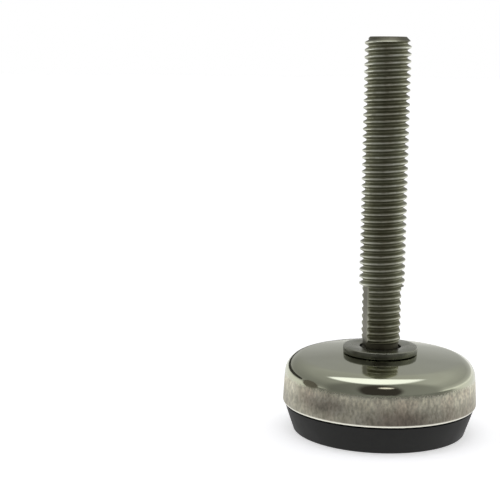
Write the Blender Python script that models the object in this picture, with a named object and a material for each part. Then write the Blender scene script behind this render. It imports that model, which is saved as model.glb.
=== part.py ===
"""Furniture levelling foot: a threaded stud whose ball end turns and tilts in a stainless cup on a rubber pad."""
import math

import bmesh
import bpy
from mathutils import Matrix, Vector

MM = 0.001

# Cup: a drawn sheet shell with a shallow crown, a rounded shoulder and a slightly flared wall.
LIP_DIAMETER = 41.8 * MM
LIP_HEIGHT = 6.0 * MM
CUP_DEPTH = 11.15 * MM
WALL_FLARE = 0.32 * MM
SHEET = 1.0 * MM
CROWN_RADIUS = 165.0 * MM
SHOULDER_RADIUS = 4.0 * MM

# Stud: a rolled M10 x 1.5 thread with a turned neck and ball below it.
THREAD_DIAMETER = 9.85 * MM
THREAD_PITCH = 1.5 * MM
THREAD_DEPTH = 0.84 * MM
CREST_SHARE = 1 / 8
ROOT_SHARE = 1 / 4
STUD_HEIGHT = 66.0 * MM
NECK_GAP = 1.0 * MM
NECK_RELIEF = 0.135 * MM
TIP_CHAMFER = 1.1 * MM
BASE_CHAMFER = 0.9 * MM
FLAT_DEPTH = 1.43 * MM
FLAT_LENGTH = 12.2 * MM
FLAT_RUN = 0.2 * MM
FLAT_ANGLE = math.radians(7.2)
THREAD_PHASE = math.radians(-126.0)
BALL_SHOULDER = 1.15 * MM

# Collar washer on the crown.
COLLAR_DIAMETER = 16.0 * MM
COLLAR_THICKNESS = 1.1 * MM
COLLAR_CLEARANCE = 0.52 * MM
CROWN_CLEARANCE = 0.45 * MM

# Ball seats, the steel ring around them and the plate below.
SEAT_CLEARANCE = 0.4 * MM
SEAT_LIP = 0.55 * MM
SEAT_FLOOR = 0.9 * MM
SEAT_WALL = 2.3 * MM
RING_WALL = 1.2 * MM
PLATE_THICKNESS = 1.8 * MM

# Rubber pad: a tapered foot below the lip and a rim pressed up inside the cup.
PAD_STEP = 0.45 * MM
PAD_TAPER = 1.75 * MM
PAD_EDGE_RADIUS = 0.8 * MM
PAD_RIM_WIDTH = 3.0 * MM
PAD_RIM_HEIGHT = 3.0 * MM
DIMPLE_RADIUS = 2.1 * MM
DIMPLE_DEPTH = 0.7 * MM
DIMPLE_OFFSET = 11.0 * MM
NUB_RADIUS = 0.45 * MM
NUB_HEIGHT = 0.35 * MM

GAP = 0.3 * MM
THREAD_STEPS = 16
TURNED_STEPS = 48
INNER_STEPS = 32

# Sizes that follow from the ones above.
lip_radius = LIP_DIAMETER / 2
wall_top_radius = lip_radius - WALL_FLARE
crown_top = LIP_HEIGHT + CUP_DEPTH
crown_centre = crown_top - CROWN_RADIUS
shoulder_x = wall_top_radius - SHOULDER_RADIUS
shoulder_z = crown_centre + math.sqrt((CROWN_RADIUS - SHOULDER_RADIUS) ** 2 - shoulder_x ** 2)
shoulder_angle = math.atan2(shoulder_x, shoulder_z - crown_centre)

crest_radius = THREAD_DIAMETER / 2
root_radius = crest_radius - THREAD_DEPTH
neck_radius = root_radius - NECK_RELIEF
ball_radius = neck_radius + BALL_SHOULDER
crown_hole = neck_radius + CROWN_CLEARANCE
collar_hole = neck_radius + COLLAR_CLEARANCE

collar_bottom = crown_top + GAP - 0.05 * MM
collar_top = collar_bottom + COLLAR_THICKNESS
thread_bottom = collar_top + NECK_GAP
stud_top = collar_top + STUD_HEIGHT

seat_opening = neck_radius + SEAT_CLEARANCE
pocket_radius = ball_radius + GAP
seat_radius = pocket_radius + SEAT_WALL
ring_inner = seat_radius + GAP
ring_outer = ring_inner + RING_WALL


def crown_underside(radius):
    return crown_centre + math.sqrt((CROWN_RADIUS - SHEET) ** 2 - radius ** 2)


ring_top = crown_underside(ring_outer) - GAP
ball_z = ring_top - SEAT_LIP - math.sqrt(ball_radius ** 2 - neck_radius ** 2)
seat_bottom = ball_z - ball_radius - GAP - SEAT_FLOOR
plate_top = seat_bottom - GAP
plate_bottom = plate_top - PLATE_THICKNESS
pad_recess = plate_bottom - GAP
pad_rim_radius = lip_radius - SHEET - WALL_FLARE - GAP
plate_radius = pad_rim_radius - PAD_RIM_WIDTH - GAP
pad_top_radius = lip_radius - PAD_STEP
pad_foot_radius = pad_top_radius - PAD_TAPER


def arc(centre_x, centre_z, radius, start, end, steps):
    """Points along an arc; angles are measured from straight up, towards +X."""
    points = []
    for step in range(steps + 1):
        angle = start + (end - start) * step / steps
        points.append((centre_x + radius * math.sin(angle), centre_z + radius * math.cos(angle)))
    return points


def clear_scene():
    for item in list(bpy.data.objects):
        bpy.data.objects.remove(item)


def make_material(name, color, roughness, metallic):
    material = bpy.data.materials.new(name)
    material.use_nodes = True
    shader = material.node_tree.nodes["Principled BSDF"]
    shader.inputs["Base Color"].default_value = (*color, 1.0)
    shader.inputs["Roughness"].default_value = roughness
    shader.inputs["Metallic"].default_value = metallic
    return material


def add_object(name, shape, material=None, height=0.0):
    """Link a bmesh as an object whose origin is on the axis at the given height."""
    bmesh.ops.recalc_face_normals(shape, faces=shape.faces)
    if height:
        bmesh.ops.translate(shape, verts=shape.verts, vec=(0, 0, -height))
    mesh = bpy.data.meshes.new(name)
    shape.to_mesh(mesh)
    shape.free()
    item = bpy.data.objects.new(name, mesh)
    item.location.z = height
    bpy.context.scene.collection.objects.link(item)
    if material:
        mesh.materials.append(material)
        mesh.shade_smooth()
        mesh.set_sharp_from_angle(angle=math.radians(30))
    else:
        item.hide_render = True
        item.display_type = "WIRE"
    return item


def turned_shape(profile, steps, closed=True):
    """Spin an (x, z) outline once around Z. A closed outline makes a ring, an open one starts and ends on Z."""
    shape = bmesh.new()
    verts = [shape.verts.new((x, 0, z)) for x, z in profile]
    edges = [shape.edges.new(pair) for pair in zip(verts, verts[1:])]
    if closed:
        edges.append(shape.edges.new((verts[-1], verts[0])))
    bmesh.ops.spin(shape, geom=verts + edges, cent=(0, 0, 0), axis=(0, 0, 1),
                   angle=2 * math.pi, steps=steps, use_merge=True)
    bmesh.ops.remove_doubles(shape, verts=shape.verts, dist=1e-7)
    return shape


def boolean(target, cutter, operation):
    modifier = target.modifiers.new(operation.lower() + "_" + cutter.name, "BOOLEAN")
    modifier.operation = operation
    modifier.solver = "EXACT"
    modifier.object = cutter


def make_cup_shell(material):
    inner_crown = CROWN_RADIUS - SHEET
    start = math.asin(crown_hole / CROWN_RADIUS)
    outer = arc(0, crown_centre, CROWN_RADIUS, start, shoulder_angle, 4)
    outer += arc(shoulder_x, shoulder_z, SHOULDER_RADIUS, shoulder_angle, math.pi / 2, 6)[1:]
    outer.append((lip_radius, LIP_HEIGHT))
    inner = [(lip_radius - SHEET, LIP_HEIGHT)]
    inner += arc(shoulder_x, shoulder_z, SHOULDER_RADIUS - SHEET, math.pi / 2, shoulder_angle, 5)
    inner += arc(0, crown_centre, inner_crown, shoulder_angle, math.asin(crown_hole / inner_crown), 3)[1:]
    return add_object("cup_shell", turned_shape(outer + inner, TURNED_STEPS), material)


def make_collar_washer(material):
    outline = [(collar_hole, collar_top), (COLLAR_DIAMETER / 2, collar_top),
               (COLLAR_DIAMETER / 2, collar_bottom), (collar_hole, collar_bottom)]
    return add_object("collar_washer", turned_shape(outline, TURNED_STEPS), material)


def thread_shape():
    """Helical thread skin, longer than needed, cut to length, capped and chamfered at both ends."""
    shape = bmesh.new()
    flank = THREAD_PITCH * (1 - CREST_SHARE - ROOT_SHARE) / 2
    root_flat = THREAD_PITCH * ROOT_SHARE
    rows = [(0, root_radius), (root_flat, root_radius), (root_flat + flank, crest_radius),
            (THREAD_PITCH - flank, crest_radius)]
    turns = math.ceil((stud_top - thread_bottom) / THREAD_PITCH) + 4
    start_z = thread_bottom - 2 * THREAD_PITCH
    helix = []
    for step in range(turns * THREAD_STEPS + 1):
        angle = THREAD_PHASE + 2 * math.pi * step / THREAD_STEPS
        rise = start_z + THREAD_PITCH * step / THREAD_STEPS
        helix.append([shape.verts.new((radius * math.cos(angle), radius * math.sin(angle), rise + offset))
                      for offset, radius in rows])
    for step in range(len(helix) - 1):
        here, there = helix[step], helix[step + 1]
        for row in range(3):
            shape.faces.new((here[row], there[row], there[row + 1], here[row + 1]))
        if step + THREAD_STEPS + 1 < len(helix):
            above, above_next = helix[step + THREAD_STEPS], helix[step + THREAD_STEPS + 1]
            shape.faces.new((here[3], there[3], above_next[0], above[0]))
    for height, direction in ((thread_bottom, -1), (stud_top, 1)):
        geometry = shape.verts[:] + shape.edges[:] + shape.faces[:]
        bmesh.ops.bisect_plane(shape, geom=geometry, plane_co=(0, 0, height),
                               plane_no=(0, 0, direction), dist=1e-6, clear_outer=True)
    chamfer_thread(shape)
    bmesh.ops.remove_doubles(shape, verts=shape.verts, dist=1e-6)
    bmesh.ops.holes_fill(shape, edges=[edge for edge in shape.edges if edge.is_boundary], sides=0)
    return shape


def chamfer_thread(shape):
    """Pull the thread's end turns inside a 45 degree cone at the tip and at the neck."""
    for vert in shape.verts:
        radius = math.hypot(vert.co.x, vert.co.y)
        tip_limit = crest_radius - TIP_CHAMFER + (stud_top - vert.co.z)
        base_limit = crest_radius - BASE_CHAMFER + (vert.co.z - thread_bottom)
        limit = min(radius, tip_limit, base_limit)
        vert.co.x *= limit / radius
        vert.co.y *= limit / radius


def make_threaded_stud(material):
    stud = add_object("threaded_stud", thread_shape(), material, ball_z)
    overlap = THREAD_PITCH
    meet = math.asin(neck_radius / ball_radius)
    outline = [(0, thread_bottom + overlap), (neck_radius, thread_bottom + overlap)]
    outline += arc(0, ball_z, ball_radius, meet, math.pi, 12)[:-1] + [(0, ball_z - ball_radius)]
    ball = add_object("ball_end_tool", turned_shape(outline, INNER_STEPS, closed=False), None, ball_z)
    boolean(stud, ball, "UNION")
    for side, turn in (("left", math.pi), ("right", 0.0)):
        boolean(stud, make_flat_cutter(side, turn + FLAT_ANGLE), "DIFFERENCE")
    return stud


def make_flat_cutter(side, angle):
    """A block whose inner face lies on one wrench flat; it runs down into the collar's hole."""
    face = crest_radius - FLAT_DEPTH
    width = 2 * THREAD_DIAMETER
    bottom = collar_top - FLAT_RUN
    height = thread_bottom + FLAT_LENGTH - bottom
    shape = bmesh.new()
    bmesh.ops.create_cube(shape, size=1)
    bmesh.ops.scale(shape, verts=shape.verts, vec=(THREAD_DIAMETER, width, height))
    centre = Vector((face + THREAD_DIAMETER / 2, 0, bottom + height / 2))
    bmesh.ops.translate(shape, verts=shape.verts, vec=centre)
    bmesh.ops.rotate(shape, verts=shape.verts, cent=(0, 0, 0), matrix=Matrix.Rotation(angle, 3, "Z"))
    return add_object("flat_tool_" + side, shape)


def make_ball_seats(material):
    """Two plastic half seats that hold the ball, with a pocket one clearance larger than it."""
    top = ring_top
    half = GAP / 2
    lip_angle = math.asin(seat_opening / pocket_radius)
    split = math.acos(half / pocket_radius)
    upper = arc(0, ball_z, pocket_radius, lip_angle, split, 5)
    upper += [(seat_radius, ball_z + half), (seat_radius, top), (seat_opening, top)]
    add_object("upper_ball_seat", turned_shape(upper, INNER_STEPS), material, ball_z)
    lower = arc(0, ball_z, pocket_radius, math.pi - split, math.pi, 8)[:-1]
    lower += [(0, ball_z - pocket_radius), (0, seat_bottom)]
    lower += [(seat_radius, seat_bottom), (seat_radius, ball_z - half)]
    outline = lower[lower.index((0, seat_bottom)):] + lower[:lower.index((0, seat_bottom))]
    add_object("lower_ball_seat", turned_shape(outline, INNER_STEPS, closed=False), material, ball_z)


def make_socket_ring(material):
    outline = [(ring_inner, ring_top), (ring_outer, ring_top),
               (ring_outer, seat_bottom), (ring_inner, seat_bottom)]
    return add_object("socket_ring", turned_shape(outline, INNER_STEPS), material)


def make_load_plate(material):
    outline = [(0, plate_top), (plate_radius, plate_top), (plate_radius, plate_bottom), (0, plate_bottom)]
    return add_object("load_plate", turned_shape(outline, TURNED_STEPS, closed=False), material)


def make_rubber_pad(material):
    foot_top = LIP_HEIGHT - GAP
    rim_top = LIP_HEIGHT + PAD_RIM_HEIGHT
    rim_inner = pad_rim_radius - PAD_RIM_WIDTH
    edge = arc(pad_foot_radius - PAD_EDGE_RADIUS, PAD_EDGE_RADIUS, PAD_EDGE_RADIUS,
               math.pi / 2 + math.atan2(PAD_TAPER, foot_top) / 2, math.pi, 3)
    outline = [(0, pad_recess), (rim_inner, pad_recess), (rim_inner, rim_top), (pad_rim_radius, rim_top),
               (pad_rim_radius, foot_top), (pad_top_radius, foot_top)] + edge + [(0, 0)]
    pad = add_object("rubber_pad", turned_shape(outline, TURNED_STEPS, closed=False), material)
    dimple = [(0, DIMPLE_DEPTH - NUB_HEIGHT), (NUB_RADIUS, DIMPLE_DEPTH - NUB_HEIGHT),
              (NUB_RADIUS, DIMPLE_DEPTH), (DIMPLE_RADIUS - DIMPLE_DEPTH / 2, DIMPLE_DEPTH),
              (DIMPLE_RADIUS, 0), (DIMPLE_RADIUS, -DIMPLE_DEPTH), (0, -DIMPLE_DEPTH)]
    cutter = add_object("dimple_tool", turned_shape(dimple, 20, closed=False))
    cutter.location.x = -DIMPLE_OFFSET
    boolean(pad, cutter, "DIFFERENCE")
    return pad


clear_scene()
make_cup_shell(make_material("polished_stainless", (0.60, 0.60, 0.56), 0.22, 1.0))
make_collar_washer(make_material("washer_stainless", (0.42, 0.42, 0.39), 0.35, 1.0))
make_threaded_stud(make_material("stud_stainless", (0.46, 0.45, 0.40), 0.33, 1.0))
make_ball_seats(make_material("acetal", (0.80, 0.79, 0.75), 0.45, 0.0))
make_socket_ring(make_material("ring_steel", (0.45, 0.46, 0.47), 0.40, 1.0))
make_load_plate(make_material("plated_steel", (0.55, 0.57, 0.60), 0.38, 1.0))
make_rubber_pad(make_material("black_rubber", (0.018, 0.018, 0.017), 0.75, 0.0))
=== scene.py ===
import math

import bpy
from mathutils import Matrix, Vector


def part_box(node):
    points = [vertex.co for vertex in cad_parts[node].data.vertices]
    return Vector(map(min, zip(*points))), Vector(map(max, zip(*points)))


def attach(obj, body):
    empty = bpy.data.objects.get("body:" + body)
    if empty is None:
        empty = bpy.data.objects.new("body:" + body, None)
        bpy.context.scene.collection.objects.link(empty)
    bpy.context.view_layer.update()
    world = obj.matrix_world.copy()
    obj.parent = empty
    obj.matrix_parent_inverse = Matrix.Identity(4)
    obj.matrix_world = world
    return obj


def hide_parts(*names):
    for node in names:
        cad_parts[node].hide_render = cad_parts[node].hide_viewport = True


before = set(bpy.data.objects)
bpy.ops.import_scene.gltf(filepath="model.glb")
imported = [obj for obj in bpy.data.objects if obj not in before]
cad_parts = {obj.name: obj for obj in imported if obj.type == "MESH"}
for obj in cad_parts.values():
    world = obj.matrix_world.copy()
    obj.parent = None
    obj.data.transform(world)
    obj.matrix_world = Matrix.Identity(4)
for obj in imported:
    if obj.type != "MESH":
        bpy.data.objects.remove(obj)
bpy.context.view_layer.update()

mm = 0.001
print("frame loaded")


# outlines are traced point by point, then spun round Z

def editMode(on):
    bpy.ops.object.mode_set(mode="EDIT" if on else "OBJECT")


def selectOnly(piece):
    bpy.ops.object.select_all(action="DESELECT")
    piece.select_set(True)
    bpy.context.view_layer.objects.active = piece


def arcPoints(centreX, centreZ, radius, fromDegrees, toDegrees, steps):
    # degrees are counted from straight up, towards +X
    points = []
    for step in range(steps + 1):
        angle = math.radians(fromDegrees + (toDegrees - fromDegrees) * step / steps)
        points.append((centreX + radius * math.sin(angle), centreZ + radius * math.cos(angle)))
    return points


def traceOutline(name, points):
    bpy.ops.object.select_all(action="DESELECT")
    bpy.ops.mesh.primitive_plane_add(size=mm)
    piece = bpy.context.active_object
    piece.name = name
    piece.data.name = name
    editMode(True)
    bpy.ops.mesh.merge(type="CENTER")
    bpy.ops.transform.translate(value=(points[0][0], 0, points[0][1]))
    for (x0, z0), (x1, z1) in zip(points, points[1:]):
        bpy.ops.mesh.extrude_region_move(TRANSFORM_OT_translate={"value": (x1 - x0, 0, z1 - z0)})
    return piece


def turnPiece(name, points, steps, ring=True):
    # a ring's outline closes on itself, any other starts and ends on the axis
    piece = traceOutline(name, points + points[:1] if ring else points)
    bpy.ops.mesh.select_all(action="SELECT")
    bpy.ops.mesh.spin(steps=steps, angle=2 * math.pi, center=(0, 0, 0), axis=(0, 0, 1))
    closeMesh()
    editMode(False)
    return piece


def closeMesh():
    bpy.ops.mesh.select_all(action="SELECT")
    bpy.ops.mesh.remove_doubles(threshold=0.0005 * mm)
    bpy.ops.mesh.normals_make_consistent(inside=False)


def applyModifier(piece, kind, **settings):
    selectOnly(piece)
    bpy.ops.object.modifier_add(type=kind)
    modifier = piece.modifiers[-1]
    for key, value in settings.items():
        setattr(modifier, key, value)
    bpy.ops.object.modifier_apply(modifier=modifier.name)


def roundEdges(piece, width, segments=3, sharper=40):
    applyModifier(piece, "BEVEL", width=width, segments=segments, limit_method="ANGLE",
                  angle_limit=math.radians(sharper), use_clamp_overlap=True)


def cutWith(piece, tool, operation):
    applyModifier(piece, "BOOLEAN", operation=operation, solver="EXACT", object=tool)
    bpy.data.objects.remove(tool)


def smoothPiece(piece, degrees=35):
    selectOnly(piece)
    bpy.ops.object.shade_smooth_by_angle(angle=math.radians(degrees))


def finishPiece(piece, node, body, material):
    piece.data.materials.clear()
    piece.data.materials.append(material)
    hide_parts(node)
    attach(piece, body)


def newMaterial(name, color, roughness, metallic):
    material = bpy.data.materials.new(name)
    material.use_nodes = True
    shader = material.node_tree.nodes["Principled BSDF"]
    shader.inputs["Base Color"].default_value = (*color, 1)
    shader.inputs["Roughness"].default_value = roughness
    shader.inputs["Metallic"].default_value = metallic
    return material, material.node_tree.nodes, material.node_tree.links, shader


def objectCoords(nodes, links, scale):
    coords = nodes.new("ShaderNodeTexCoord")
    mapping = nodes.new("ShaderNodeMapping")
    mapping.inputs["Scale"].default_value = scale
    links.new(coords.outputs["Object"], mapping.inputs["Vector"])
    return mapping.outputs["Vector"]


def noise(nodes, links, vector, scale, detail=3.0, roughness=0.55):
    node = nodes.new("ShaderNodeTexNoise")
    node.inputs["Scale"].default_value = scale
    node.inputs["Detail"].default_value = detail
    node.inputs["Roughness"].default_value = roughness
    links.new(vector, node.inputs["Vector"])
    return node.outputs["Fac"]


def ramp(nodes, links, value, stops):
    node = nodes.new("ShaderNodeValToRGB")
    elements = node.color_ramp.elements
    while len(elements) < len(stops):
        elements.new(0.5)
    for element, (place, color) in zip(elements, stops):
        element.position = place
        element.color = (*color, 1) if isinstance(color, tuple) else (color, color, color, 1)
    links.new(value, node.inputs["Fac"])
    return node.outputs["Color"]


def spread(nodes, links, value, low, high, toLow, toHigh, smooth=False):
    node = nodes.new("ShaderNodeMapRange")
    node.interpolation_type = "SMOOTHSTEP" if smooth else "LINEAR"
    for key, number in (("From Min", low), ("From Max", high), ("To Min", toLow), ("To Max", toHigh)):
        node.inputs[key].default_value = number
    links.new(value, node.inputs["Value"])
    return node.outputs["Result"]


def mathNode(nodes, links, operation, first, second=None):
    node = nodes.new("ShaderNodeMath")
    node.operation = operation
    for place, value in enumerate((first, second)):
        if value is None:
            continue
        if isinstance(value, (int, float)):
            node.inputs[place].default_value = value
        else:
            links.new(value, node.inputs[place])
    return node.outputs["Value"]


def mixColors(nodes, links, factor, first, second, blend="MIX"):
    node = nodes.new("ShaderNodeMix")
    node.data_type = "RGBA"
    node.blend_type = blend
    for socket, value in ((0, factor), (6, first), (7, second)):
        if isinstance(value, (int, float)):
            node.inputs[socket].default_value = value
        elif isinstance(value, tuple):
            node.inputs[socket].default_value = (*value, 1)
        else:
            links.new(value, node.inputs[socket])
    return node.outputs[2]


def axisDistance(nodes, links):
    # distance from the Z axis and height, both in metres
    coords = nodes.new("ShaderNodeTexCoord")
    split = nodes.new("ShaderNodeSeparateXYZ")
    links.new(coords.outputs["Object"], split.inputs["Vector"])
    squareX = mathNode(nodes, links, "MULTIPLY", split.outputs["X"], split.outputs["X"])
    squareY = mathNode(nodes, links, "MULTIPLY", split.outputs["Y"], split.outputs["Y"])
    total = mathNode(nodes, links, "ADD", squareX, squareY)
    return mathNode(nodes, links, "SQRT", total), split.outputs["Z"]


def ovalPatch(nodes, links, first, second, centre, half, soft):
    # 1 inside an ellipse and 0 outside it, with a soft edge
    total = None
    for value, middle, reach in zip((first, second), centre, half):
        offset = mathNode(nodes, links, "SUBTRACT", value, middle)
        share = mathNode(nodes, links, "DIVIDE", offset, reach)
        square = mathNode(nodes, links, "MULTIPLY", share, share)
        total = square if total is None else mathNode(nodes, links, "ADD", total, square)
    away = mathNode(nodes, links, "SQRT", total)
    return spread(nodes, links, away, 1 - soft, 1 + soft, 1.0, 0.0, smooth=True)


def addBump(nodes, links, shader, height, strength, distance):
    node = nodes.new("ShaderNodeBump")
    node.inputs["Strength"].default_value = strength
    node.inputs["Distance"].default_value = distance
    links.new(height, node.inputs["Height"])
    links.new(node.outputs["Normal"], shader.inputs["Normal"])


def cupSteel(look):
    # mirror polish on the crown and shoulder, worn satin on the wall with painted shade darker towards the
    # lip and lighter towards the top, two painted dark reflections on the front, and a painted highlight at
    # the lip
    material, nodes, links, shader = newMaterial("cupSteel", look["polished"], look["polishedRough"], 1.0)
    distance, height = axisDistance(nodes, links)
    plain = objectCoords(nodes, links, (1, 1, 1))
    cloud = noise(nodes, links, plain, 90, 2.0)
    coarse = noise(nodes, links, plain, 420, 3.0)
    fine = noise(nodes, links, plain, 2100, 2.0)
    edge = mathNode(nodes, links, "ADD", coarse, fine)
    wobble = spread(nodes, links, edge, 0.7, 1.3, -0.28 * mm, 0.28 * mm)
    level = mathNode(nodes, links, "ADD", height, wobble)
    satinTop = look["satinTop"]
    satin = spread(nodes, links, level, satinTop + 0.45 * mm, satinTop - 0.75 * mm, 0.0, 1.0, smooth=True)
    streaks = noise(nodes, links, objectCoords(nodes, links, (1, 1, 0.45)), 1000, 4.0, 0.65)
    blotches = noise(nodes, links, objectCoords(nodes, links, (1, 1, 0.8)), 330, 4.0, 0.6)
    speckle = noise(nodes, links, objectCoords(nodes, links, (1, 1, 0.6)), 1900, 2.0)
    tarnish = noise(nodes, links, objectCoords(nodes, links, (1, 1, 0.7)), 170, 3.0)
    satinColor = ramp(nodes, links, blotches, [(0.28, look["satinDark"]), (0.5, look["satin"]),
                                              (0.72, look["satinLight"])])
    satinColor = mixColors(nodes, links, spread(nodes, links, tarnish, 0.45, 0.62, 0.0, 0.7),
                           satinColor, look["tarnish"])
    for texture, low in ((streaks, 0.78), (speckle, 0.70)):
        shade = ramp(nodes, links, texture, [(0.36, low), (0.60, 1.0)])
        satinColor = mixColors(nodes, links, 1.0, satinColor, shade, "MULTIPLY")
    # painted shade: the wall colour is darker towards the lip and lighter towards the top
    heightPaintedShade = ramp(nodes, links, spread(nodes, links, height, look["lipZ"], look["satinTop"], 0.0, 1.0), [
        (0.0, look["lowPaintedShade"]), (0.45, 0.5 + look["lowPaintedShade"] / 2), (0.8, look["topPaintedLight"])])
    satinColor = mixColors(nodes, links, 1.0, satinColor, heightPaintedShade, "MULTIPLY")
    # painted shade: two darker places on the front of the wall
    frontPaintedShade = frontPaintedShadePatch(nodes, links, height, look)
    satinColor = mixColors(nodes, links, frontPaintedShade, satinColor, look["frontPaintedShade"], "MULTIPLY")
    polished = mixColors(nodes, links, spread(nodes, links, cloud, 0.35, 0.65, 0.0, 1.0),
                         look["polished"], look["polishedWarm"])
    color = mixColors(nodes, links, satin, polished, satinColor)
    # painted highlight: a bright band of colour along the lip, which is also a little smoother
    lip = spread(nodes, links, height, look["lipZ"] + 0.36 * mm, look["lipZ"] + 0.62 * mm, 1.0, 0.0)
    color = mixColors(nodes, links, lip, color, look["lipPaintedHighlight"])
    links.new(color, shader.inputs["Base Color"])
    dull, clear = look["satinRough"], look["polishedRough"]
    satinRough = spread(nodes, links, streaks, 0.3, 0.7, dull - 0.06, dull + 0.08)
    smudge = spread(nodes, links, cloud, 0.3, 0.7, clear - 0.02, clear + 0.03)
    rough = mixColors(nodes, links, satin, smudge, satinRough)
    rough = mixColors(nodes, links, lip, rough, (0.28, 0.28, 0.28))
    links.new(rough, shader.inputs["Roughness"])
    links.new(spread(nodes, links, satin, 0.0, 1.0, 1.0, look["satinMetal"]), shader.inputs["Metallic"])
    rings = nodes.new("ShaderNodeCombineXYZ")
    links.new(distance, rings.inputs["X"])
    links.new(height, rings.inputs["Z"])
    latheLines = noise(nodes, links, rings.outputs["Vector"], 5200, 2.0)
    fineLines = mathNode(nodes, links, "MULTIPLY", latheLines, 0.10)
    satinBump = mathNode(nodes, links, "ADD", mathNode(nodes, links, "ADD", blotches, speckle), streaks)
    relief = mixColors(nodes, links, satin, fineLines, satinBump)
    addBump(nodes, links, shader, relief, look["bump"], 0.03 * mm)
    return material


def frontPaintedShadePatch(nodes, links, height, look):
    # painted shade: the wall is darker in two places on the front side, a dark reflection painted into its
    # colour
    coords = nodes.new("ShaderNodeTexCoord")
    split = nodes.new("ShaderNodeSeparateXYZ")
    links.new(coords.outputs["Object"], split.inputs["Vector"])
    patch = 0.0
    for centreX, rise, half in look["frontPaintedShadePlaces"]:
        centre = (centreX, look["lipZ"] + rise)
        spot = ovalPatch(nodes, links, split.outputs["X"], height, centre, half, 0.85)
        patch = mathNode(nodes, links, "MAXIMUM", patch, spot)
    oneSide = spread(nodes, links, split.outputs["Y"], 0.0, -mm, 0.0, 1.0)
    return mathNode(nodes, links, "MULTIPLY", patch, oneSide)


def threadSteel(look):
    # painted highlights on the thin crests, painted shade on the flanks, roots a little lighter than the
    # flanks, painted shade on the neck, and a darker tip
    material, nodes, links, shader = newMaterial("threadSteel", look["crest"], look["rough"], 1.0)
    distance, height = axisDistance(nodes, links)
    depth = spread(nodes, links, distance, look["rootRadius"], look["crestRadius"], 0.0, 1.0)
    grime = noise(nodes, links, objectCoords(nodes, links, (1, 1, 0.6)), 420, 4.0, 0.6)
    shade = mathNode(nodes, links, "ADD", depth, spread(nodes, links, grime, 0.3, 0.7, -0.06, 0.06))
    # painted highlight on the crests and painted shade on the flanks, set by distance from the axis
    color = ramp(nodes, links, shade, [(0.0, look["root"]), (0.25, look["flank"]),
                                       (0.86, look["flank"]), (0.99, look["crest"])])
    stain = ramp(nodes, links, noise(nodes, links, objectCoords(nodes, links, (1, 1, 0.35)), 170, 4.0, 0.6),
                 [(0.35, look["stain"]), (0.6, (1.0, 1.0, 1.0))])
    color = mixColors(nodes, links, 1.0, color, stain, "MULTIPLY")
    inside = look["rootRadius"]
    flat = spread(nodes, links, distance, inside - 0.15 * mm, inside - 0.02 * mm, 1.0, 0.0)
    color = mixColors(nodes, links, flat, color, look["flat"])
    # painted shade on the neck below the thread; the tip chamfer is darkened with the same colour
    neck = spread(nodes, links, height, look["neckZ"] - 0.1 * mm, look["neckZ"] + 0.5 * mm, 1.0, 0.0)
    tip = spread(nodes, links, height, look["tipZ"] - 1.0 * mm, look["tipZ"] - 0.75 * mm, 0.0, 0.9)
    color = mixColors(nodes, links, neck, color, look["neck"])
    color = mixColors(nodes, links, tip, color, look["neck"])
    links.new(color, shader.inputs["Base Color"])
    rough = spread(nodes, links, shade, 0.0, 1.0, look["rough"] + 0.12, look["rough"] - 0.08)
    links.new(rough, shader.inputs["Roughness"])
    rolled = noise(nodes, links, objectCoords(nodes, links, (1, 1, 5)), 1500, 3.0)
    addBump(nodes, links, shader, rolled, 0.25, 0.02 * mm)
    return material


def turnedSteel(name, color, rough, lineScale, bump, side=(1.0, 1.0, 1.0), top=1.0):
    # satin steel with the fine rings that a lathe leaves, and painted shade on the side below the top edge
    material, nodes, links, shader = newMaterial(name, color, rough, 1.0)
    distance, height = axisDistance(nodes, links)
    rings = nodes.new("ShaderNodeCombineXYZ")
    links.new(distance, rings.inputs["X"])
    links.new(height, rings.inputs["Z"])
    lines = noise(nodes, links, rings.outputs["Vector"], lineScale, 3.0)
    stains = noise(nodes, links, objectCoords(nodes, links, (1, 1, 1)), 380, 4.0, 0.6)
    dark = tuple(part * 0.72 for part in color)
    shade = ramp(nodes, links, stains, [(0.32, dark), (0.62, color)])
    # painted shade on the side below the top edge
    paintedSideShade = spread(nodes, links, height, top - 0.25 * mm, top - 0.1 * mm, 1.0, 0.0)
    links.new(mixColors(nodes, links, paintedSideShade, shade, side, "MULTIPLY"), shader.inputs["Base Color"])
    links.new(spread(nodes, links, stains, 0.3, 0.7, rough + 0.08, rough - 0.04), shader.inputs["Roughness"])
    addBump(nodes, links, shader, lines, bump, 0.015 * mm)
    return material


def padRubber(look):
    material, nodes, links, shader = newMaterial("padRubber", look["color"], look["rough"], 0.0)
    shader.inputs["Specular IOR Level"].default_value = look["specular"]
    dust = noise(nodes, links, objectCoords(nodes, links, (1, 1, 1)), 260, 5.0, 0.65)
    links.new(ramp(nodes, links, dust, [(0.35, look["color"]), (0.75, look["dusty"])]),
              shader.inputs["Base Color"])
    links.new(spread(nodes, links, dust, 0.3, 0.7, look["rough"] - 0.06, look["rough"] + 0.08),
              shader.inputs["Roughness"])
    pores = noise(nodes, links, objectCoords(nodes, links, (1, 1, 1)), 2400, 3.0)
    addBump(nodes, links, shader, pores, 0.35, 0.03 * mm)
    return material


def seatPlastic(color):
    material, nodes, links, shader = newMaterial("seatPlastic", color, 0.42, 0.0)
    shader.inputs["Subsurface Weight"].default_value = 0.12
    shader.inputs["Subsurface Radius"].default_value = (0.001, 0.0008, 0.0006)
    cloud = noise(nodes, links, objectCoords(nodes, links, (1, 1, 1)), 300, 3.0)
    links.new(ramp(nodes, links, cloud, [(0.3, tuple(part * 0.88 for part in color)), (0.7, color)]),
              shader.inputs["Base Color"])
    fine = noise(nodes, links, objectCoords(nodes, links, (1, 1, 1)), 1800, 2.0)
    addBump(nodes, links, shader, fine, 0.15, 0.02 * mm)
    return material


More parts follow.
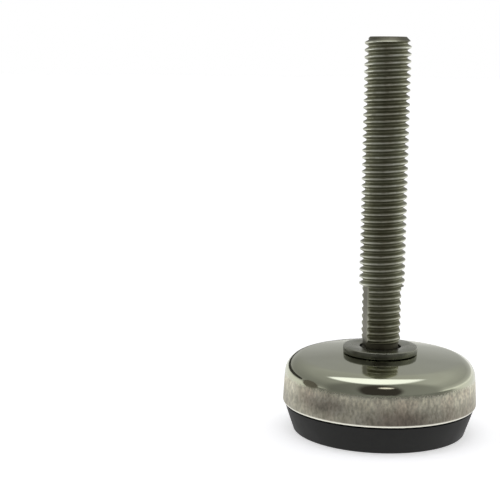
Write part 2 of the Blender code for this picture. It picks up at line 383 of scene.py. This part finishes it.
cup = {
    "sheet": 1.0 * mm,
    "crownRadius": 165 * mm,
    "shoulderRadius": 4.0 * mm,
    "flare": 0.32 * mm,
    "holeRadius": 4.40 * mm,
    "lipRound": 0.55 * mm,
    "innerRound": 0.25 * mm,
    "holeRound": 0.2 * mm,
    "steps": 224,
    "crownSteps": 14,
    "shoulderSteps": 22,
    "lipSteps": 6,
    "innerShoulderSteps": 12,
    "innerCrownSteps": 8,
    "look": {
        "polished": (0.565, 0.58, 0.45),
        "polishedWarm": (0.535, 0.545, 0.415),
        "polishedRough": 0.085,
        "satin": (0.80, 0.765, 0.61),
        "satinDark": (0.60, 0.56, 0.435),
        "satinLight": (0.87, 0.84, 0.69),
        "tarnish": (0.66, 0.57, 0.445),
        # colour of the painted shade on the front of the wall
        "frontPaintedShade": (0.52, 0.50, 0.51),
        # across, height above the lip, half width and half height
        "frontPaintedShadePlaces": [(2.5 * mm, 1.2 * mm, (10 * mm, 2.1 * mm)),
                         (-12.5 * mm, 3.6 * mm, (4.2 * mm, 1.9 * mm))],
        # painted shade near the lip and painted light near the top of the wall
        "lowPaintedShade": 0.72,
        "topPaintedLight": 1.14,
        "satinRough": 0.46,
        "satinMetal": 0.74,
        # painted highlight colour along the lip
        "lipPaintedHighlight": (0.84, 0.83, 0.73),
        "bump": 0.35,
    },
}
cupLow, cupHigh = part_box("cup_shell")
lipRadius = cupHigh.x
cup["centreZ"] = cupHigh.z - cup["crownRadius"] + 0.5 * cup["holeRadius"] ** 2 / cup["crownRadius"]
cup["shoulderX"] = lipRadius - cup["flare"] - cup["shoulderRadius"]
innerReach = cup["crownRadius"] - cup["shoulderRadius"]
cup["shoulderZ"] = cup["centreZ"] + math.sqrt(innerReach ** 2 - cup["shoulderX"] ** 2)
cup["blend"] = math.degrees(math.atan2(cup["shoulderX"], cup["shoulderZ"] - cup["centreZ"]))
cup["look"]["lipZ"] = cupLow.z
cup["look"]["satinTop"] = cup["shoulderZ"] + 0.1 * mm


def makeCup():
    hole = math.degrees(math.asin(cup["holeRadius"] / cup["crownRadius"]))
    sheet, lip, inner = cup["sheet"], cup["lipRound"], cup["innerRound"]
    centre, blend = (cup["shoulderX"], cup["shoulderZ"]), cup["blend"]
    outline = arcPoints(0, cup["centreZ"], cup["crownRadius"], hole, blend, cup["crownSteps"])
    outline += arcPoints(*centre, cup["shoulderRadius"], blend, 90, cup["shoulderSteps"])[1:]
    for centreX, radius, start in ((lipRadius - lip, lip, 90), (lipRadius - sheet + inner, inner, 180)):
        outline += arcPoints(centreX, cupLow.z + radius, radius, start, start + 90, cup["lipSteps"])
    outline += arcPoints(*centre, cup["shoulderRadius"] - sheet, 90, blend, cup["innerShoulderSteps"])
    innerCrown = cup["crownRadius"] - sheet
    outline += arcPoints(0, cup["centreZ"], innerCrown, blend, hole, cup["innerCrownSteps"])[1:]
    piece = turnPiece("cupShell", outline, cup["steps"])
    roundEdges(piece, cup["holeRound"])
    smoothPiece(piece)
    finishPiece(piece, "cup_shell", "base", cupSteel(cup["look"]))


makeCup()
print("cup made")


collar = {
    "holeRadius": 4.47 * mm,
    "seatGap": 0.02 * mm,
    "edgeRound": 0.16 * mm,
    "steps": 128,
    "color": (0.37, 0.375, 0.30),
    # painted shade on the collar's side
    "side": (0.56, 0.56, 0.56),
    "rough": 0.27,
    "lineScale": 4200,
    "bump": 0.3,
}
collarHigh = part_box("collar_washer")[1]


def makeCollar():
    # it rests on the edge of the cup's hole
    seat = cupHigh.z + collar["seatGap"]
    outline = [(collar["holeRadius"], collarHigh.z), (collarHigh.x, collarHigh.z),
               (collarHigh.x, seat), (collar["holeRadius"], seat)]
    piece = turnPiece("collarWasher", outline, collar["steps"])
    roundEdges(piece, collar["edgeRound"])
    smoothPiece(piece)
    steel = turnedSteel("collarSteel", collar["color"], collar["rough"], collar["lineScale"],
                        collar["bump"], side=collar["side"], top=collarHigh.z)
    finishPiece(piece, "collar_washer", "base", steel)


makeCollar()
print("collar made")


stud = {
    "pitch": 1.5 * mm,
    "crestRadius": 4.92 * mm,
    "threadDepth": 0.84 * mm,
    "rootRound": 0.2 * mm,
    "crestEase": 0.06 * mm,
    "crestFlat": 0.09 * mm,
    "threadRise": 0.7125 * mm,
    "neckRadius": 3.95 * mm,
    "ballRadius": 5.1 * mm,
    "neckGap": 1.0 * mm,
    "tipChamfer": 1.1 * mm,
    "baseChamfer": 0.9 * mm,
    "flatFace": 3.495 * mm,
    "flatLength": 12.2 * mm,
    "flatRun": 0.2 * mm,
    "flatTurn": 7.2,
    "toolMargin": 0.2 * mm,
    "toolSteps": 96,
    "ballSteps": 28,
    "steps": 48,
    "look": {
        # painted highlight colour for the crests and painted shade for the flanks
        "crest": (0.85, 0.87, 0.74),
        "flank": (0.37, 0.375, 0.28),
        "root": (0.48, 0.485, 0.37),
        "stain": (0.74, 0.72, 0.66),
        "flat": (0.27, 0.26, 0.205),
        # painted shade on the neck, also used to darken the tip
        "neck": (0.13, 0.125, 0.09),
        "rough": 0.36,
    },
}
studLow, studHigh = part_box("threaded_stud")
stud["bottom"] = collarHigh.z + stud["neckGap"]
stud["rootRadius"] = stud["crestRadius"] - stud["threadDepth"]
stud["look"]["rootRadius"] = stud["rootRadius"]
stud["look"]["crestRadius"] = stud["crestRadius"]
stud["look"]["neckZ"] = stud["bottom"]
stud["look"]["tipZ"] = studHigh.z


def threadProfile():
    # one pitch, from the middle of one root to the next
    root, crest, ease = stud["rootRadius"], stud["crestRadius"], stud["crestEase"]
    rise = math.tan(math.radians(60))
    half = []
    for degrees in (0, 30, 60):
        angle = math.radians(degrees)
        half.append((root + stud["rootRound"] * (1 - math.cos(angle)), stud["rootRound"] * math.sin(angle)))
    lastRadius, lastHeight = half[-1]
    half.append((crest - ease, lastHeight + (crest - ease - lastRadius) / rise))
    half.append((crest, (stud["pitch"] - stud["crestFlat"]) / 2))
    mirrored = [(radius, stud["pitch"] - height) for radius, height in reversed(half)]
    return half + mirrored


def makeThread():
    turns = math.ceil((studHigh.z - stud["bottom"]) / stud["pitch"]) + 4
    start = stud["bottom"] - 2 * stud["pitch"] + stud["threadRise"]
    piece = traceOutline("threadedStud", [(radius, start + height) for radius, height in threadProfile()])
    editMode(False)
    applyModifier(piece, "SCREW", axis="Z", angle=2 * math.pi, screw_offset=stud["pitch"], iterations=turns,
                  steps=stud["steps"], render_steps=stud["steps"], merge_threshold=0.0001 * mm)
    editMode(True)
    bpy.ops.mesh.select_all(action="SELECT")
    bpy.ops.mesh.remove_doubles(threshold=0.001 * mm)
    for height, direction in ((stud["bottom"], -1), (studHigh.z, 1)):
        bpy.ops.mesh.select_all(action="SELECT")
        bpy.ops.mesh.bisect(plane_co=(0, 0, height), plane_no=(0, 0, direction), use_fill=True,
                            clear_outer=True, threshold=0.00001 * mm)
    closeMesh()
    editMode(False)
    return piece


def makeStud():
    piece = makeThread()
    top, bottom, crest = studHigh.z, stud["bottom"], stud["crestRadius"]
    wide = crest + stud["toolMargin"]
    tip = stud["tipChamfer"]
    base = stud["baseChamfer"]
    envelope = [(0, top), (crest - tip, top), (wide, top - tip - (wide - crest)),
                (wide, bottom + base + (wide - crest)), (crest - base, bottom), (0, bottom)]
    cutWith(piece, turnPiece("chamferTool", envelope, stud["toolSteps"], ring=False), "INTERSECT")
    neck, ball, centre = stud["neckRadius"], stud["ballRadius"], studLow.z + stud["ballRadius"]
    meet = math.degrees(math.asin(neck / ball))
    outline = [(0, bottom + stud["pitch"]), (neck, bottom + stud["pitch"])]
    outline += arcPoints(0, centre, ball, meet, 180, stud["ballSteps"])[:-1] + [(0, centre - ball)]
    cutWith(piece, turnPiece("ballTool", outline, stud["toolSteps"], ring=False), "UNION")
    for side in (0, 180):
        cutWith(piece, flatTool(side + stud["flatTurn"]), "DIFFERENCE")
    smoothPiece(piece, 32)
    finishPiece(piece, "threaded_stud", "stud", threadSteel(stud["look"]))


def flatTool(degrees):
    depth, width = 4 * mm, 20 * mm
    low = collarHigh.z - stud["flatRun"]
    high = stud["bottom"] + stud["flatLength"]
    reach = stud["flatFace"] + depth / 2
    angle = math.radians(degrees)
    bpy.ops.object.select_all(action="DESELECT")
    bpy.ops.mesh.primitive_cube_add(size=1, location=(reach * math.cos(angle), reach * math.sin(angle),
                                                      (low + high) / 2), rotation=(0, 0, angle))
    tool = bpy.context.active_object
    tool.scale = (depth, width, high - low)
    bpy.ops.object.transform_apply()
    return tool


makeStud()
print("stud made")


pad = {
    "taper": 1.8 * mm,
    "edgeRound": 0.5 * mm,
    "edgeFrom": 98,
    "edgeSteps": 8,
    "seam": 0.3 * mm,
    "rimWidth": 3.0 * mm,
    "recess": 3.116 * mm,
    "rimRadius": 19.28 * mm,
    "dimpleRadius": 2.1 * mm,
    "dimpleDepth": 0.7 * mm,
    "dimpleOffset": 11 * mm,
    "dimpleRound": 0.12 * mm,
    "dimpleSlope": 0.4 * mm,
    "dimpleSteps": 48,
    "nubRadius": 0.45 * mm,
    "nubHeight": 0.35 * mm,
    "steps": 224,
    "look": {
        "color": (0.0066, 0.0067, 0.0061),
        "dusty": (0.0165, 0.0165, 0.015),
        "rough": 0.60,
        "specular": 0.27,
    },
}
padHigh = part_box("rubber_pad")[1]


def makePad():
    top = cupLow.z - pad["seam"]
    rim, edge = pad["rimRadius"], pad["edgeRound"]
    foot = padHigh.x - pad["taper"]
    inside = rim - pad["rimWidth"]
    outline = [(0, pad["recess"]), (inside, pad["recess"]), (inside, padHigh.z),
               (rim, padHigh.z), (rim, top), (padHigh.x, top)]
    outline += arcPoints(foot - edge, edge, edge, pad["edgeFrom"], 180, pad["edgeSteps"])
    outline.append((0, 0))
    piece = turnPiece("rubberPad", outline, pad["steps"], ring=False)
    # a small round dimple under the foot, with a nub in its middle
    depth, radius, soft = pad["dimpleDepth"], pad["dimpleRadius"], pad["dimpleRound"]
    dimple = [(0, depth - pad["nubHeight"]), (pad["nubRadius"] * 0.7, depth - pad["nubHeight"] * 0.9),
              (pad["nubRadius"], depth), (radius - pad["dimpleSlope"], depth),
              (radius - soft, depth * 0.7), (radius, 0.1 * mm),
              (radius + soft, 0), (radius + soft, -depth), (0, -depth)]
    tool = turnPiece("dimpleTool", dimple, pad["dimpleSteps"], ring=False)
    tool.location.x = -pad["dimpleOffset"]
    cutWith(piece, tool, "DIFFERENCE")
    smoothPiece(piece, 30)
    finishPiece(piece, "rubber_pad", "base", padRubber(pad["look"]))


makePad()
print("pad made")


# the inner nodes keep their shapes and get their finishes
seatColor = (0.78, 0.77, 0.72)
inner = {
    "upper_ball_seat": seatPlastic(seatColor),
    "lower_ball_seat": seatPlastic(seatColor),
    "socket_ring": turnedSteel("ringSteel", color=(0.42, 0.43, 0.44), rough=0.34, lineScale=3000, bump=0.3),
    "load_plate": turnedSteel("plateSteel", color=(0.52, 0.54, 0.57), rough=0.36, lineScale=2400, bump=0.3),
}
for node, finish in inner.items():
    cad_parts[node].data.materials.clear()
    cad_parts[node].data.materials.append(finish)
print("inner pieces finished")


studio = {
    "backdrop": (1.0, 1.0, 1.0),
    "floorColor": (0.88, 0.88, 0.88),
    "floorGlow": 0.54,
    "floorDrop": 0.02 * mm,
    "benchTones": [(0.22, 1.15), (0.31, 0.9), (0.38, 0.20), (0.6, 0.23), (1.0, 0.24)],
    "skyTones": [(0.0, 1.0), (0.035, 0.92), (0.10, 0.53), (0.28, 0.38), (0.50, 0.43), (0.66, 0.50)],
    "frontTone": 0.27,
    "sideDrift": 0.26,
    "overhead": {"color": (1.72, 1.74, 1.86), "x": -0.10, "back": 0.22, "half": (0.62, 0.70)},
    "doorway": {"color": (0.055, 0.048, 0.046), "x": -0.06, "z": 0.34, "half": (0.42, 0.52)},
    "lamp": {"color": (1.5, 1.4, 1.4), "x": 0.05, "z": 0.67, "half": (0.13, 0.05)},
    "flags": {
        "flagDisc": {"radius": 14 * mm, "depth": 12 * mm, "place": (-74 * mm, -8 * mm, 15 * mm),
                     "turn": (0, 90, 12), "color": (0.20, 0.18, 0.16)},
        "flagBar": {"radius": 3.6 * mm, "depth": 135 * mm, "place": (-26 * mm, 64 * mm, 17.5 * mm),
                    "turn": (0, 93, 52), "color": (0.05, 0.047, 0.043)},
    },
    "side": {"place": (-0.62, -0.10, 0.30), "size": (0.45, 0.45), "power": 0.2},
}


def makeFloor():
    # reflections see a darker bench in front; the eye sees the pale sweep
    bpy.ops.object.select_all(action="DESELECT")
    bpy.ops.mesh.primitive_circle_add(vertices=96, radius=6, fill_type="NGON",
                                      location=(0, 0, -studio["floorDrop"]))
    floor = bpy.context.active_object
    floor.name = "studioFloor"
    material, nodes, links, shader = newMaterial("floorPaper", studio["floorColor"], 0.8, 0.0)
    shader.inputs["Specular IOR Level"].default_value = 0.1
    shader.inputs["Emission Color"].default_value = (*studio["backdrop"], 1)
    shader.inputs["Emission Strength"].default_value = studio["floorGlow"]
    distance = axisDistance(nodes, links)[0]
    tone = ramp(nodes, links, mathNode(nodes, links, "MULTIPLY", distance, 10), studio["benchTones"])
    coords = nodes.new("ShaderNodeTexCoord")
    split = nodes.new("ShaderNodeSeparateXYZ")
    links.new(coords.outputs["Object"], split.inputs["Vector"])
    behind = spread(nodes, links, split.outputs["Y"], -0.045, 0.03, 0.0, 1.0, smooth=True)
    bench = nodes.new("ShaderNodeEmission")
    links.new(mixColors(nodes, links, behind, tone, (0.95, 0.95, 0.95)), bench.inputs["Color"])
    rays = nodes.new("ShaderNodeLightPath")
    mix = nodes.new("ShaderNodeMixShader")
    links.new(rays.outputs["Is Glossy Ray"], mix.inputs["Fac"])
    links.new(shader.outputs["BSDF"], mix.inputs[1])
    links.new(bench.outputs["Emission"], mix.inputs[2])
    links.new(mix.outputs["Shader"], nodes["Material Output"].inputs["Surface"])
    floor.data.materials.append(material)


def makeFlags():
    # dark flags beside the set, which only reflections see
    for name, spec in studio["flags"].items():
        bpy.ops.object.select_all(action="DESELECT")
        bpy.ops.mesh.primitive_cylinder_add(vertices=48, radius=spec["radius"], depth=spec["depth"],
                                            location=spec["place"],
                                            rotation=[math.radians(angle) for angle in spec["turn"]])
        flag = bpy.context.active_object
        flag.name = name
        material = newMaterial(name, spec["color"], 0.8, 0.0)[0]
        flag.data.materials.append(material)
        flag.visible_camera = False
        flag.visible_diffuse = False
        flag.visible_shadow = False


def makeWorld():
    world = bpy.data.worlds.new("studioWorld")
    bpy.context.scene.world = world
    world.use_nodes = True
    nodes, links = world.node_tree.nodes, world.node_tree.links
    coords = nodes.new("ShaderNodeTexCoord")
    split = nodes.new("ShaderNodeSeparateXYZ")
    links.new(coords.outputs["Generated"], split.inputs["Vector"])
    x, y, z = split.outputs["X"], split.outputs["Y"], split.outputs["Z"]
    drift = spread(nodes, links, x, -1.0, 1.0, 1.0 - studio["sideDrift"], 1.0 + studio["sideDrift"])
    facing = spread(nodes, links, y, -0.15, -0.45, 0.0, 1.0, smooth=True)
    front = (studio["frontTone"],) * 3
    color = mixColors(nodes, links, facing, ramp(nodes, links, z, studio["skyTones"]), front)
    color = mixColors(nodes, links, 1.0, color, drift, "MULTIPLY")
    ceiling = mathNode(nodes, links, "MAXIMUM", z, 0.05)
    overX = mathNode(nodes, links, "DIVIDE", x, ceiling)
    overY = mathNode(nodes, links, "DIVIDE", y, ceiling)
    box = studio["overhead"]
    overhead = ovalPatch(nodes, links, overX, overY, (box["x"], box["back"]), box["half"], 0.13)
    backEdge = spread(nodes, links, overY, box["back"] - 0.06, box["back"] + 0.06, 1.0, 0.0, smooth=True)
    overhead = mathNode(nodes, links, "MULTIPLY", overhead, backEdge)
    color = mixColors(nodes, links, overhead, color, box["color"])
    for name, soft in (("doorway", 0.16), ("lamp", 0.3)):
        spot = studio[name]
        mask = ovalPatch(nodes, links, x, z, (spot["x"], spot["z"]), spot["half"], soft)
        mask = mathNode(nodes, links, "MULTIPLY", mask, facing)
        color = mixColors(nodes, links, mask, color, spot["color"])
    rays = nodes.new("ShaderNodeLightPath")
    color = mixColors(nodes, links, rays.outputs["Is Camera Ray"], color, studio["backdrop"])
    links.new(color, nodes["Background"].inputs["Color"])


def addSoftbox(name, spec, target=(0, 0, 0.02)):
    bpy.ops.object.select_all(action="DESELECT")
    bpy.ops.object.light_add(type="AREA", location=spec["place"])
    light = bpy.context.active_object
    light.name = name
    light.data.shape = "RECTANGLE"
    light.data.size, light.data.size_y = spec["size"]
    light.data.energy = spec["power"]
    light.visible_glossy = False
    toTarget = [aim - at for aim, at in zip(target, spec["place"])]
    flat = math.hypot(toTarget[0], toTarget[1])
    light.rotation_euler = (math.atan2(flat, -toTarget[2]), 0, math.atan2(-toTarget[0], toTarget[1]))


def makeCamera():
    view = {"place": (-28.456 * mm, -267.482 * mm, 79.256 * mm), "down": 8.54, "roll": 0.63, "lens": 90.84}
    bpy.ops.object.camera_add(location=view["place"])
    camera = bpy.context.active_object
    camera.name = "studioCamera"
    camera.data.lens = view["lens"]
    camera.data.sensor_width = 36
    camera.data.clip_start = 0.01
    # the roll turns about the camera's own axis, before the tilt
    turn = Matrix.Rotation(math.radians(90 - view["down"]), 4, "X")
    turn = turn @ Matrix.Rotation(math.radians(view["roll"]), 4, "Z")
    camera.rotation_euler = turn.to_euler("XYZ")
    bpy.context.scene.camera = camera


makeFloor()
makeFlags()
makeWorld()
addSoftbox("softboxSide", studio["side"])
makeCamera()
bpy.context.scene.view_settings.view_transform = "Standard"
print("studio set")
